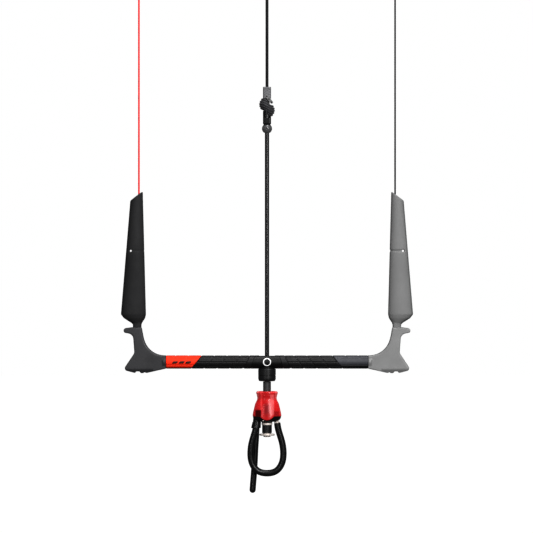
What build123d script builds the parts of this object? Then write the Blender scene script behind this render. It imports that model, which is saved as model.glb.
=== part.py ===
from build123d import *
from math import cos, pi, radians, sin, sqrt, tan
import os

os.makedirs("parts", exist_ok=True)

# Kitesurf control bar. Millimetres. +Z runs up the lines to the kite, +X is the rider's
# right hand, -Y is the front. The origin is where the bar's axis meets the centre line.

# ---------------------------------------------------------------- driving dimensions
LINE_SPACING = 508.0        # between the two steering lines
LINE_RADIUS = 1.6
LINE_TOP = 722.0            # where every line is cut for this part
BAR_RADIUS = 13.0           # over the grips
GRIP_END = 200.0            # half length of the gripped part
BORE_GAP = 0.05             # radial gap of a close fit

TILT = 18.0                 # the bar tilts this many degrees each way
PIVOT_Z = -20.0             # centre of the ball that the bar tilts on
GUIDE_RADIUS = 7.0
TRUNNION_RADIUS = 2.0       # the guide's two short pins, on the tilt axis
TRUNNION_END = 10.5
CENTRE_TUBE_RADIUS = 4.15
CENTRE_TUBE_BORE = 2.3

TUBE_RADIUS = 11.0
TUBE_BORE = 9.0
END_PIN_X = 188.0
END_PIN_RADIUS = 1.5

COLLAR_RADIUS = 17.25
COLLAR_BORE = 14.2
COLLAR_TOP = -13.2
COLLAR_BOTTOM = -37.7
COLLAR_CORNER_WIDTH = 2.8   # the lower edge is an upright quarter ellipse
COLLAR_CORNER_HEIGHT = 6.2
COLLAR_PIN_Z = -26.4
COLLAR_PIN_RADIUS = 1.25
SEAT_RADIUS = 14.1          # hub seat inside the collar

STUD_X = -20.0              # the loop's captive end, on the left
SPIGOT_X = 20.0             # the loop's released end, on the right
LOOP_RADIUS = 6.35
LOOP_BORE = 3.4
SLEEVE_FLATNESS = 0.74      # depth over width of the release sleeve

LINE_X = LINE_SPACING / 2
SIDES = {"left": -1, "right": 1}

pieces = {}                 # every separate piece by its name


# ---------------------------------------------------------------- shared shapes
def upright_plane(x=0.0, y=0.0):
    """Plane facing the front, whose own axes are X and Z, through (x, y)."""
    return Plane(origin=(x, y, 0), x_dir=(1, 0, 0), z_dir=(0, -1, 0))


def turned(points, x=0.0, y=0.0):
    """Solid turned about the vertical through (x, y) from (radius, z) points."""
    with BuildPart() as solid:
        with BuildSketch(upright_plane(x, y)):
            Polygon(*points, align=None)
        revolve(axis=Axis((x, y, 0), (0, 0, 1)))
    return solid.part


def ring(outer, inner, bottom, top, x=0.0, y=0.0):
    """Plain upright ring."""
    return turned([(inner, bottom), (outer, bottom), (outer, top), (inner, top)], x, y)


def rod(radius, bottom, top, x=0.0, y=0.0):
    """Plain upright rod."""
    return ring(radius, 0, bottom, top, x, y)


def cross_rod(radius, start, end):
    """Straight rod between two points."""
    along = Vector(*end) - Vector(*start)
    with BuildPart() as solid:
        with BuildSketch(Plane(origin=start, z_dir=along)):
            Circle(radius)
        extrude(amount=along.length)
    return solid.part


def hose(points, radius, bore=0.0):
    """Round section, hollow if a bore is given, swept along a smooth curve."""
    with BuildPart() as solid:
        with BuildLine():
            path = Spline(*points)
        with BuildSketch(Plane(origin=path @ 0, z_dir=path % 0)):
            Circle(radius)
            if bore:
                Circle(bore, mode=Mode.SUBTRACT)
        sweep()
    return solid.part


def plate(points, front, back):
    """Flat plate with an X-Z outline, between two depths in Y."""
    with BuildPart() as solid:
        with BuildSketch(upright_plane(y=back)):
            Polygon(*points, align=None)
        extrude(amount=back - front)
    return solid.part


def oval_loft(stations, shrink=0.0):
    """Loft through ellipses given as (z, half width), all with the sleeve's flatness."""
    with BuildPart() as solid:
        for z, half_width in stations:
            with BuildSketch(Plane.XY.offset(z)):
                Ellipse(half_width - shrink, half_width * SLEEVE_FLATNESS - shrink)
        loft()
    return solid.part


# ---------------------------------------------------------------- bar tube and hub
def lean_half_width(z):
    """Half width that the leaning centre tube needs at the height z of the bar."""
    lean = radians(TILT)
    return (z - PIVOT_Z) * tan(lean) + CENTRE_TUBE_RADIUS / cos(lean) + 0.7


PASSAGE_BOTTOM = PIVOT_Z + 3.5
PASSAGE_TOP = BAR_RADIUS + 1.0
PASSAGE_HALF_DEPTH = CENTRE_TUBE_RADIUS + 0.55
passage_side = [(lean_half_width(z), z) for z in (PASSAGE_BOTTOM, PASSAGE_TOP)]
passage_outline = [(-x, z) for x, z in passage_side] + [(x, z) for x, z in reversed(passage_side)]
passage = plate(passage_outline, -PASSAGE_HALF_DEPTH, PASSAGE_HALF_DEPTH)

with BuildPart() as bar_tube:
    with BuildSketch(Plane.YZ):
        Circle(TUBE_RADIUS)
        Circle(TUBE_BORE, mode=Mode.SUBTRACT)
    extrude(amount=GRIP_END, both=True)
    add(passage, mode=Mode.SUBTRACT)
    for side in SIDES.values():
        pin_x = side * END_PIN_X
        pin_hole = cross_rod(END_PIN_RADIUS + BORE_GAP, (pin_x, -BAR_RADIUS, 0), (pin_x, BAR_RADIUS, 0))
        add(pin_hole, mode=Mode.SUBTRACT)
pieces["bar_tube"] = bar_tube

HUB_SLANT = 4.0 / BAR_RADIUS         # the hub's edges lean out towards the bottom
HUB_HALF = 28.0
GRIP_SLANT = 10.0 / BAR_RADIUS       # the colour joints lean the same way
COLOUR_JOINT = 140.0
SKIRT_BOTTOM = -30.0
SKIRT_BORE = 9.5
SEAT_BOTTOM = -24.5


def slanted_block(inner_x, inner_slant, outer_x, outer_slant, side):
    """Block from one leaning plane across the bar to the next, on one side."""
    reach = BAR_RADIUS + 3
    corners = [
        (side * (inner_x - reach * inner_slant), reach),
        (side * (outer_x - reach * outer_slant), reach),
        (side * (outer_x + reach * outer_slant), -reach),
        (side * (inner_x + reach * inner_slant), -reach),
    ]
    return plate(corners, -reach, reach)


hub_ends = slanted_block(-HUB_HALF, -HUB_SLANT, HUB_HALF, HUB_SLANT, 1)
with BuildPart() as hub:
    with BuildSketch(Plane.YZ):
        Circle(BAR_RADIUS)
    extrude(amount=HUB_HALF + 5, both=True)
    add(hub_ends, mode=Mode.INTERSECT)
    add(rod(SEAT_RADIUS, SEAT_BOTTOM, -10))
    add(ring(SEAT_RADIUS, SKIRT_BORE, SKIRT_BOTTOM, SEAT_BOTTOM + 1))
    with BuildSketch(Plane.YZ.offset(-HUB_HALF - 6)):
        Circle(TUBE_RADIUS + BORE_GAP)
    extrude(amount=2 * HUB_HALF + 12, mode=Mode.SUBTRACT)
    with Locations((0, 0, PIVOT_Z)):
        Sphere(GUIDE_RADIUS + BORE_GAP, mode=Mode.SUBTRACT)
    add(rod(GUIDE_RADIUS - 0.9, SEAT_BOTTOM - 0.1, PIVOT_Z), mode=Mode.SUBTRACT)
    add(passage, mode=Mode.SUBTRACT)
    reach = TRUNNION_END + 0.1
    trunnion_hole = cross_rod(TRUNNION_RADIUS + BORE_GAP, (0, -reach, PIVOT_Z), (0, reach, PIVOT_Z))
    add(trunnion_hole, mode=Mode.SUBTRACT)
    for side in SIDES.values():
        hole_start = (side * 9, 0, COLLAR_PIN_Z)
        hole_end = (side * 18, 0, COLLAR_PIN_Z)
        add(cross_rod(COLLAR_PIN_RADIUS + BORE_GAP, hole_start, hole_end), mode=Mode.SUBTRACT)

for half_name, keep in (("hub_shell_front", -1), ("hub_shell_back", 1)):
    with BuildPart() as hub_half:
        add(hub.part)
        with Locations((0, keep * 25.02, 0)):
            Box(80, 50, 80, mode=Mode.INTERSECT)
    pieces[half_name] = hub_half

with BuildPart() as hub_collar:
    collar_profile = [(COLLAR_BORE, COLLAR_TOP), (COLLAR_BORE, COLLAR_BOTTOM)]
    for angle in range(90, -1, -15):
        corner_x = COLLAR_RADIUS - COLLAR_CORNER_WIDTH * (1 - cos(radians(angle)))
        corner_z = COLLAR_BOTTOM + COLLAR_CORNER_HEIGHT * (1 - sin(radians(angle)))
        collar_profile.append((corner_x, corner_z))
    add(turned(collar_profile + [(COLLAR_RADIUS, COLLAR_TOP)]))
    fillet(hub_collar.edges().filter_by(GeomType.CIRCLE).sort_by(Axis.Z)[-1], radius=1.4)
    pin_groove = ring(COLLAR_RADIUS + 1, COLLAR_RADIUS - 0.8, COLLAR_PIN_Z - 0.7, COLLAR_PIN_Z + 0.7)
    add(pin_groove, mode=Mode.SUBTRACT)
    pin_hole = cross_rod(COLLAR_PIN_RADIUS + BORE_GAP, (-20, 0, COLLAR_PIN_Z), (20, 0, COLLAR_PIN_Z))
    add(pin_hole, mode=Mode.SUBTRACT)
pieces["hub_collar"] = hub_collar

with BuildPart() as hub_collar_pins:
    for side in SIDES.values():
        add(cross_rod(COLLAR_PIN_RADIUS, (side * 10.2, 0, COLLAR_PIN_Z), (side * 17.1, 0, COLLAR_PIN_Z)))
pieces["hub_collar_pins"] = hub_collar_pins

with BuildPart() as guide_ball:
    with Locations((0, 0, PIVOT_Z)):
        Sphere(GUIDE_RADIUS)
    add(cross_rod(TRUNNION_RADIUS, (0, -TRUNNION_END, PIVOT_Z), (0, TRUNNION_END, PIVOT_Z)))
    add(rod(CENTRE_TUBE_RADIUS + BORE_GAP, PIVOT_Z - 10, PIVOT_Z + 10), mode=Mode.SUBTRACT)
pieces["guide_ball"] = guide_ball

# ---------------------------------------------------------------- grips
GROOVE_HEIGHTS = (7.9, 0.0, -6.0)    # grooves run along the grips
GROOVE_FLOOR = 12.3
GROOVE_HALF = 0.8

with BuildPart() as grip_grooves:
    for height in GROOVE_HEIGHTS:
        with Locations((0, 0, height)):
            Box(2 * GRIP_END, 3 * BAR_RADIUS, 2 * GROOVE_HALF)
    with BuildSketch(Plane.YZ):
        Circle(GROOVE_FLOOR)
    extrude(amount=GRIP_END + 5, both=True, mode=Mode.SUBTRACT)


def grip(inner_x, inner_slant, outer_x, outer_slant, side):
    """One rubber sleeve of the bar between two leaning joints."""
    with BuildPart() as sleeve:
        with BuildSketch(Plane.YZ):
            Circle(BAR_RADIUS)
            Circle(TUBE_RADIUS + BORE_GAP, mode=Mode.SUBTRACT)
        extrude(amount=GRIP_END + 10, both=True)
        add(slanted_block(inner_x, inner_slant, outer_x, outer_slant, side), mode=Mode.INTERSECT)
        add(grip_grooves.part, mode=Mode.SUBTRACT)
    return sleeve


for side_name, side in SIDES.items():
    tread = grip(HUB_HALF + 0.1, HUB_SLANT, COLOUR_JOINT - 0.1, GRIP_SLANT, side)
    colour = grip(COLOUR_JOINT + 0.1, GRIP_SLANT, GRIP_END, 0.0, side)
    pieces["tread_grip_" + side_name] = tread
    pieces["colour_grip_" + side_name] = colour

# ---------------------------------------------------------------- bar ends
END_DEPTH = 11.0            # half depth of the flat horn
BEVEL_TOP = -14.5           # below this the horn's faces slope inwards
BEVEL_DEPTH = 5.5
LEADER_GAP = 0.3
KNOT_Z = -12.5
KNOT_RADIUS = 3.0
NECK_TOP = 69.0
# the long concave edge, from the grip up to the neck
END_INNER_CURVE = [
    (200.3, 12.9),
    (212.0, 14.0),
    (225.5, 19.5),
    (239.7, 34.5),
    (246.2, 55.0),
    (248.7, NECK_TOP),
]
# the foot with its notches, from the outer corner inwards
END_FOOT = [
    (278.2, -17.2),
    (261.4, -21.6),
    (259.6, -18.4),
    (252.4, -18.4),
    (250.0, -21.9),
    (245.6, -21.9),
    (242.9, -20.0),
    (238.4, -21.6),
]


def bar_end(side):
    """Moulded end: a plug in the tube, a flat curved horn, and a bore for the leader line."""
    def at(x, z):
        return (side * x, z)

    inner_curve = [at(x, z) for x, z in END_INNER_CURVE]
    foot = [at(x, z) for x, z in END_FOOT]
    with BuildPart() as end:
        with BuildSketch(upright_plane(y=END_DEPTH)):
            with BuildLine():
                Spline(*inner_curve)
                Polyline(at(248.7, NECK_TOP), at(265.9, NECK_TOP), at(280.8, 67.2))
                ThreePointArc(at(280.8, 67.2), at(284.0, 62.6), at(281.6, 58.2))
                Line(at(281.6, 58.2), at(273.9, 56.7))
                ThreePointArc(at(273.9, 56.7), at(268.0, 53.6), at(264.9, 48.2))
                Line(at(264.9, 48.2), at(262.8, 20.5))
                ThreePointArc(at(262.8, 20.5), at(263.4, 17.2), at(264.9, 14.6))
                Line(at(264.9, 14.6), at(280.0, -8.0))
                ThreePointArc(at(280.0, -8.0), at(281.5, -13.2), at(278.2, -17.2))
                Polyline(*foot)
                ThreePointArc(at(238.4, -21.6), at(219.0, -17.0), at(200.3, -12.9))
                Line(at(200.3, -12.9), at(200.3, 12.9))
            make_face()
        extrude(amount=2 * END_DEPTH)
        for front in (-1, 1):
            with BuildSketch(Plane.YZ.offset(min(side * 226, side * 290))):
                Polygon(
                    (front * END_DEPTH, BEVEL_TOP),
                    (front * (END_DEPTH + 1), BEVEL_TOP),
                    (front * (END_DEPTH + 1), -30),
                    (front * (END_DEPTH - BEVEL_DEPTH), -30),
                    (front * (END_DEPTH - BEVEL_DEPTH), -22.0),
                    align=None,
                )
            extrude(amount=64, mode=Mode.SUBTRACT)
        add(cross_rod(BAR_RADIUS, (side * 200.3, 0, 0), (side * 207.0, 0, 0)))
        add(cross_rod(TUBE_BORE - BORE_GAP, (side * 176.0, 0, 0), (side * 201.0, 0, 0)))
        pin_x = side * END_PIN_X
        add(cross_rod(END_PIN_RADIUS + BORE_GAP, (pin_x, -12, 0), (pin_x, 12, 0)), mode=Mode.SUBTRACT)
        add(rod(LINE_RADIUS + LEADER_GAP, -30, 80, x=side * LINE_X), mode=Mode.SUBTRACT)
        add(rod(KNOT_RADIUS + 0.4, -30, KNOT_Z + 4, x=side * LINE_X), mode=Mode.SUBTRACT)
    return end


with BuildPart() as bar_end_pins:
    for side in SIDES.values():
        add(cross_rod(END_PIN_RADIUS, (side * END_PIN_X, -10.7, 0), (side * END_PIN_X, 10.7, 0)))
pieces["bar_end_pins"] = bar_end_pins

# ---------------------------------------------------------------- floats and steering lines
FLOAT_FOOT = 74.0
FLOAT_EYE = (270.2, 220.4)
FLOAT_EYE_RADIUS = 2.6
# height, inner edge, outer edge, depth of the foam at each section
FLOAT_SECTIONS = [
    (FLOAT_FOOT, 248.7, 266.0, 17.0),
    (77.0, 248.3, 268.0, 18.5),
    (87.0, 241.8, 283.8, 30.0),
    (94.5, 240.1, 289.6, 34.0),
    (345.0, 246.6, 269.0, 24.0),
]
FLOAT_TOP_INNER = (246.4, 338.4)
FLOAT_TOP_OUTER = (271.1, 319.6)
FREE_LINE_BOTTOM = 342.0    # the line is pressed thinner inside the foam


def foam_float(side):
    """Soft foam float: a neck, round shoulders, a tapering body and a slanted top."""
    with BuildPart() as foam:
        for z, inner, outer, depth in FLOAT_SECTIONS:
            with BuildSketch(Plane.XY.offset(z)):
                with Locations((side * (inner + outer) / 2, 0)):
                    Ellipse((outer - inner) / 2, depth / 2)
        loft(ruled=True)
        (inner_x, inner_z), (outer_x, outer_z) = FLOAT_TOP_INNER, FLOAT_TOP_OUTER
        fall = (inner_z - outer_z) / (outer_x - inner_x)
        above = [
            (side * (inner_x - 10), inner_z + 10 * fall),
            (side * (outer_x + 10), outer_z - 10 * fall),
            (side * (outer_x + 10), 400),
            (side * (inner_x - 10), 400),
        ]
        add(plate(above, -40, 40), mode=Mode.SUBTRACT)
        add(rod(LINE_RADIUS + LEADER_GAP, 60, 400, x=side * LINE_X), mode=Mode.SUBTRACT)
        eye_x, eye_z = side * FLOAT_EYE[0], FLOAT_EYE[1]
        add(cross_rod(FLOAT_EYE_RADIUS, (eye_x, -40, eye_z), (eye_x, 40, eye_z)), mode=Mode.SUBTRACT)
    return foam


for side_name, side in SIDES.items():
    pieces["bar_end_" + side_name] = bar_end(side)
    pieces["float_" + side_name] = foam_float(side)
    with BuildPart() as leader:
        add(rod(LINE_RADIUS, KNOT_Z, NECK_TOP - 0.2, x=side * LINE_X))
        with Locations((side * LINE_X, 0, KNOT_Z)):
            Sphere(KNOT_RADIUS)
    pieces["leader_" + side_name] = leader
    with BuildPart() as steering_line:
        add(rod(LINE_RADIUS, FREE_LINE_BOTTOM, LINE_TOP, x=side * LINE_X))
        add(rod(LINE_RADIUS - 0.2, FLOAT_FOOT, FREE_LINE_BOTTOM, x=side * LINE_X))
    pieces["steering_line_" + side_name] = steering_line

# ---------------------------------------------------------------- centre line
SHAFT_TOP = -62.0
SHAFT_HEAD_TOP = -104.0
SHAFT_FOOT = -107.0
TUBE_TOP = 480.0
BALL_Z = 462.8
BALL_RADIUS = 9.9
HOUSING_BOTTOM = 471.0
HOUSING_SHOULDER = 484.0    # round above this, under the wound rope
HOUSING_TOP = 497.7
CLEAT_BOTTOM = 522.7
CLEAT_TOP = 545.3
CLEAT_HALF = 7.9
TRIM_RADIUS = 3.0
TAIL_RADIUS = 2.4
CHANNEL_RADIUS = 2.6
KNOT_BOTTOM_Z = -130.0

with BuildPart() as centre_tube:
    add(ring(CENTRE_TUBE_RADIUS, CENTRE_TUBE_BORE, SHAFT_TOP, TUBE_TOP))
pieces["centre_tube"] = centre_tube

with BuildPart() as swivel_shaft:
    shaft_profile = [
        (1.7, SHAFT_TOP + 14),
        (CENTRE_TUBE_BORE - BORE_GAP, SHAFT_TOP + 14),
        (CENTRE_TUBE_BORE - BORE_GAP, SHAFT_TOP - 0.1),
        (3.6, SHAFT_TOP - 0.1),
        (3.6, SHAFT_HEAD_TOP),
        (5.4, SHAFT_HEAD_TOP),
        (5.4, SHAFT_FOOT),
        (1.7, SHAFT_FOOT),
    ]
    add(turned(shaft_profile))
pieces["swivel_shaft"] = swivel_shaft

with BuildPart() as safety_line:
    add(rod(1.5, KNOT_BOTTOM_Z, 470))
    with Locations((0, 0, KNOT_BOTTOM_Z)):
        Sphere(3.4)
pieces["safety_line"] = safety_line

with BuildPart() as stopper_ball:
    with Locations((0, 0, BALL_Z)):
        Sphere(BALL_RADIUS)
    add(rod(CENTRE_TUBE_RADIUS + BORE_GAP, BALL_Z - 12, BALL_Z + 12), mode=Mode.SUBTRACT)
    screw_hole = cross_rod(1.5 + BORE_GAP, (0, -12, BALL_Z), (0, -CENTRE_TUBE_RADIUS, BALL_Z))
    add(screw_hole, mode=Mode.SUBTRACT)
    with Locations((0, 0, BALL_Z)):
        Box(30, 30, 2 * (HOUSING_BOTTOM - BALL_Z) - 0.2, mode=Mode.INTERSECT)
pieces["stopper_ball"] = stopper_ball

with BuildPart() as stopper_screw:
    add(cross_rod(1.5, (0, -8.6, BALL_Z), (0, -CENTRE_TUBE_RADIUS - 0.1, BALL_Z)))
pieces["stopper_screw"] = stopper_screw

with BuildPart() as cleat_housing:
    with BuildSketch(Plane.XY.offset(HOUSING_BOTTOM)):
        RectangleRounded(2 * CLEAT_HALF, 17, 3)
    extrude(amount=HOUSING_SHOULDER - HOUSING_BOTTOM)
    fillet(cleat_housing.faces().sort_by(Axis.Z)[0].edges(), radius=2.2)
    add(rod(CLEAT_HALF, HOUSING_SHOULDER - 1, HOUSING_TOP))
    with BuildSketch(Plane.XY.offset(HOUSING_TOP)):
        RectangleRounded(10, 12, 2)
    extrude(amount=CLEAT_BOTTOM - HOUSING_TOP - 0.1)
    tube_socket = rod(CENTRE_TUBE_RADIUS + BORE_GAP, HOUSING_BOTTOM - 1, TUBE_TOP + 0.1)
    add(tube_socket, mode=Mode.SUBTRACT)
    add(rod(CHANNEL_RADIUS, TUBE_TOP, CLEAT_BOTTOM + 1), mode=Mode.SUBTRACT)
pieces["cleat_housing"] = cleat_housing

with BuildPart() as cleat:
    with BuildSketch(Plane.XY.offset(CLEAT_BOTTOM)):
        RectangleRounded(2 * CLEAT_HALF, 16, 2.5)
    extrude(amount=CLEAT_TOP - CLEAT_BOTTOM)
    fillet(cleat.faces().sort_by(Axis.Z)[-1].edges(), radius=1.5)
    add(rod(CHANNEL_RADIUS, CLEAT_BOTTOM - 1, CLEAT_TOP + 1), mode=Mode.SUBTRACT)
    for tooth in range(3):
        tooth_z = CLEAT_BOTTOM + 5.0 + 5.5 * tooth
        lower_edge = [(-6, tooth_z), (0, tooth_z + 4), (6, tooth_z)]
        chevron = lower_edge + [(x, z + 1.4) for x, z in reversed(lower_edge)]
        add(plate(chevron, -9, -7.2), mode=Mode.SUBTRACT)
pieces["cleat"] = cleat

COIL_ROPE = 2.45
COIL_TURNS = 4
COIL_PITCH = 6.1
COIL_MIDDLE = 505.0
COIL_LEAN = tan(radians(34.0))      # the turns fall from the left to the right
COIL_POINTS = 12                    # per turn


def coil_point(step):
    """Point on the middle of the wound rope, whose ends are at the back."""
    turn = step / COIL_POINTS - COIL_TURNS / 2
    angle = 2 * pi * turn + pi / 2
    radius = 13.2 - 0.55 * turn ** 2
    squeeze = 1 - 0.17 * cos(angle) ** 2
    x, y = radius * cos(angle), radius * sin(angle)
    return (x, y, COIL_MIDDLE + turn * COIL_PITCH * squeeze - x * COIL_LEAN)


with BuildPart() as trim_coil:
    add(hose([coil_point(step) for step in range(COIL_TURNS * COIL_POINTS + 1)], COIL_ROPE))
pieces["trim_coil"] = trim_coil

LINK_FRONT = -9.6
LINK_BACK = -8.4
LINK_HALF = 2.8
LINK_ENDS = ((-1.0, 527.0), (9.0, 514.5))
with BuildPart() as cleat_link:
    for x, z in LINK_ENDS:
        add(cross_rod(LINK_HALF, (x, LINK_FRONT, z), (x, LINK_BACK, z)))
    (top_x, top_z), (low_x, low_z) = LINK_ENDS
    run = sqrt((low_x - top_x) ** 2 + (low_z - top_z) ** 2)
    across_x, across_z = LINK_HALF * (top_z - low_z) / run, LINK_HALF * (low_x - top_x) / run
    strip = [
        (top_x + across_x, top_z + across_z),
        (low_x + across_x, low_z + across_z),
        (low_x - across_x, low_z - across_z),
        (top_x - across_x, top_z - across_z),
    ]
    add(plate(strip, LINK_FRONT, LINK_BACK))
    for share in (0.05, 0.5, 1.0):
        hole_x, hole_z = top_x + share * (low_x - top_x), top_z + share * (low_z - top_z)
        link_hole = cross_rod(1.4, (hole_x, LINK_FRONT - 1, hole_z), (hole_x, LINK_BACK + 0.4, hole_z))
        add(link_hole, mode=Mode.SUBTRACT)
pieces["cleat_link"] = cleat_link

with BuildPart() as upper_line:
    add(rod(TRIM_RADIUS, CLEAT_TOP + 0.3, LINE_TOP))
    add(rod(TAIL_RADIUS, TUBE_TOP + 2, CLEAT_TOP + 1))
pieces["upper_line"] = upper_line

# ---------------------------------------------------------------- release core
STEM_TOP = -28.0
STEM_SHOULDER = -38.7
STEM_STEP = -91.0
STEM_FOOT = -112.0
STEM_RADIUS = 7.65
STEM_LOWER_RADIUS = 6.5
BEARING_TOP = -101.0
SPRING_SEAT_TOP = -84.0
SPRING_SEAT_BOTTOM = -86.0
BASE_TOP = -107.3
BASE_BOTTOM = -118.0
BOSS_BOTTOM = -120.4
BASE_HALF_WIDTH = 28.0
BASE_HALF_DEPTH = 18.6
# height and share of the full width: a shallow bowl
BASE_STATIONS = [(BASE_TOP, 1.0), (-111.0, 0.975), (-114.5, 0.89), (-117.0, 0.74), (BASE_BOTTOM, 0.62)]
SLOT_HALF = 3.4

SLEEVE_STATIONS = [
    (-58.1, 19.6),
    (-61.0, 21.5),
    (-73.4, 19.2),
    (-83.0, 23.3),
    (-91.0, 25.3),
    (-99.0, 27.3),
    (-107.0, 28.3),
]
SLEEVE_WALL = 2.4

with BuildPart() as stem_tube:
    stem_profile = [
        (CENTRE_TUBE_RADIUS + BORE_GAP, STEM_TOP),
        (5.0, STEM_TOP),
        (5.0, STEM_SHOULDER),
        (STEM_RADIUS, STEM_SHOULDER),
        (STEM_RADIUS, SPRING_SEAT_TOP),
        (9.6, SPRING_SEAT_TOP),
        (9.6, SPRING_SEAT_BOTTOM),
        (STEM_RADIUS, SPRING_SEAT_BOTTOM),
        (STEM_RADIUS, STEM_STEP),
        (STEM_LOWER_RADIUS, STEM_STEP),
        (STEM_LOWER_RADIUS, STEM_FOOT),
        (5.9, STEM_FOOT),
        (5.9, BEARING_TOP),
        (CENTRE_TUBE_RADIUS + BORE_GAP, BEARING_TOP),
    ]
    add(turned(stem_profile))
pieces["stem_tube"] = stem_tube

with BuildPart() as swivel_washers:
    add(ring(5.8, 3.65, BEARING_TOP - 1.4, BEARING_TOP - 0.05))
    add(ring(5.8, 3.65, BEARING_TOP - 2.95, BEARING_TOP - 1.5))
pieces["swivel_washers"] = swivel_washers

STUD_HEAD_TOP = -101.5
STUD_HEAD_BOTTOM = -104.5
STUD_RADIUS = 2.8
STUD_HEAD_RADIUS = 3.6
SPIGOT_TOP = -109.0
SPIGOT_RADIUS = 3.0
NECK_RADIUS = 2.0
PAWL_PIVOT = (13.0, -97.0)
PAWL_PIN_RADIUS = 1.25
SWING_RADIUS = SPIGOT_X - STUD_X

with BuildPart() as swing_slot:
    # the path of the released end: an arc about the captive end, open to the back
    with BuildSketch(Plane.XY.offset(BASE_BOTTOM - 0.1)):
        with Locations((STUD_X, 0)):
            Circle(SWING_RADIUS + SLOT_HALF)
            Circle(SWING_RADIUS - SLOT_HALF, mode=Mode.SUBTRACT)
        with Locations((STUD_X + 50, 30 - SLOT_HALF)):
            Rectangle(100, 60, mode=Mode.INTERSECT)
    extrude(amount=SPIGOT_TOP - BASE_BOTTOM + 0.3)

with BuildPart() as core_base:
    for z, share in BASE_STATIONS:
        with BuildSketch(Plane.XY.offset(z)):
            Ellipse(share * BASE_HALF_WIDTH, share * BASE_HALF_DEPTH)
    loft(ruled=True)
    boss_profile = [
        (0, BASE_BOTTOM + 1),
        (12.0, BASE_BOTTOM + 1),
        (12.0, BASE_BOTTOM),
        (9.4, BOSS_BOTTOM),
        (0, BOSS_BOTTOM),
    ]
    add(turned(boss_profile))
    # cheeks that carry the latch pin
    for front in (-1, 1):
        with Locations((13.0, front * 4.4, (BASE_TOP - 94.0) / 2 - 0.5)):
            Box(7.0, 2.4, -94.0 - BASE_TOP + 1.0)
    # seat of the captive stud
    with Locations((STUD_X + 3.2, 0, (BASE_TOP + STUD_HEAD_BOTTOM) / 2 - 0.1)):
        Box(13.0, 12.0, STUD_HEAD_BOTTOM - BASE_TOP - 0.2)
    add(rod(STUD_RADIUS + BORE_GAP, BASE_BOTTOM - 1, STUD_HEAD_BOTTOM + 1, x=STUD_X), mode=Mode.SUBTRACT)
    add(rod(8.0, BASE_BOTTOM - 1, -111.0, x=STUD_X), mode=Mode.SUBTRACT)
    add(rod(STEM_LOWER_RADIUS + BORE_GAP, STEM_FOOT - 0.1, BASE_TOP + 1), mode=Mode.SUBTRACT)
    add(rod(1.8, BOSS_BOTTOM - 1, STEM_FOOT + 1), mode=Mode.SUBTRACT)
    add(swing_slot.part, mode=Mode.SUBTRACT)
    with Locations((14.6, 0, -112.5)):
        Box(8.6, 6.0, 14.0, mode=Mode.SUBTRACT)
    pawl_x, pawl_z = PAWL_PIVOT
    pawl_hole = cross_rod(PAWL_PIN_RADIUS + BORE_GAP, (pawl_x, -10, pawl_z), (pawl_x, 10, pawl_z))
    add(pawl_hole, mode=Mode.SUBTRACT)
pieces["core_base"] = core_base

with BuildPart() as stud_cap:
    with Locations((STUD_X + 3.2, 0, (STUD_HEAD_BOTTOM - 95.0) / 2)):
        Box(13.0, 12.0, -95.0 - STUD_HEAD_BOTTOM)
    fillet(stud_cap.edges().filter_by(Axis.Z), radius=2.0)
    inner_space = oval_loft([(-110.0, 25.4), (-90.0, 21.0)])
    add(inner_space, mode=Mode.INTERSECT)
    head_space = rod(STUD_HEAD_RADIUS + BORE_GAP, STUD_HEAD_BOTTOM - 1, STUD_HEAD_TOP + 0.05, x=STUD_X)
    add(head_space, mode=Mode.SUBTRACT)
pieces["stud_cap"] = stud_cap

with BuildPart() as latch_pin:
    add(cross_rod(PAWL_PIN_RADIUS, (pawl_x, -5.5, pawl_z), (pawl_x, 5.5, pawl_z)))
pieces["latch_pin"] = latch_pin

with BuildPart() as latch_pawl:
    pawl_outline = [
        (pawl_x - 2.6, pawl_z + 2.4),
        (pawl_x + 2.6, pawl_z + 2.4),
        (pawl_x + 2.6, -111.0),
        (SPIGOT_X - NECK_RADIUS - 0.4, -111.9),
        (SPIGOT_X - NECK_RADIUS - 0.4, -114.4),
        (pawl_x + 0.4, -114.4),
        (pawl_x - 1.4, -108.0),
    ]
    add(plate(pawl_outline, -2.6, 2.6))
    add(pawl_hole, mode=Mode.SUBTRACT)
pieces["latch_pawl"] = latch_pawl

# ---------------------------------------------------------------- release sleeve and its spring
SLEEVE_BASE, SLEEVE_HALF_WIDTH = SLEEVE_STATIONS[-1]
WEB_BOTTOM = -106.8
WEB_TOP = -104.8

with BuildPart() as release_sleeve:
    add(oval_loft(SLEEVE_STATIONS))
    hollow_stations = SLEEVE_STATIONS[1:-1] + [(SLEEVE_BASE - 0.01, SLEEVE_HALF_WIDTH)]
    add(oval_loft(hollow_stations, SLEEVE_WALL), mode=Mode.SUBTRACT)
    # web that the spring pushes on, joined to the front and back walls
    with BuildSketch(Plane.XY.offset(WEB_BOTTOM)):
        Rectangle(17.0, 37.5)
    extrude(amount=WEB_TOP - WEB_BOTTOM)
    # tongue that hangs in front of the base
    tongue_half = [(13, -103.5), (13, -108), (9, -112.4), (4, -114.3)]
    tongue = tongue_half + [(-x, z) for x, z in reversed(tongue_half)]
    add(plate(tongue, -21.3, -19.0))
    add(rod(STEM_RADIUS + BORE_GAP, -70, -50), mode=Mode.SUBTRACT)
    add(rod(STEM_LOWER_RADIUS + 0.1, -110, -90), mode=Mode.SUBTRACT)
pieces["release_sleeve"] = release_sleeve

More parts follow.
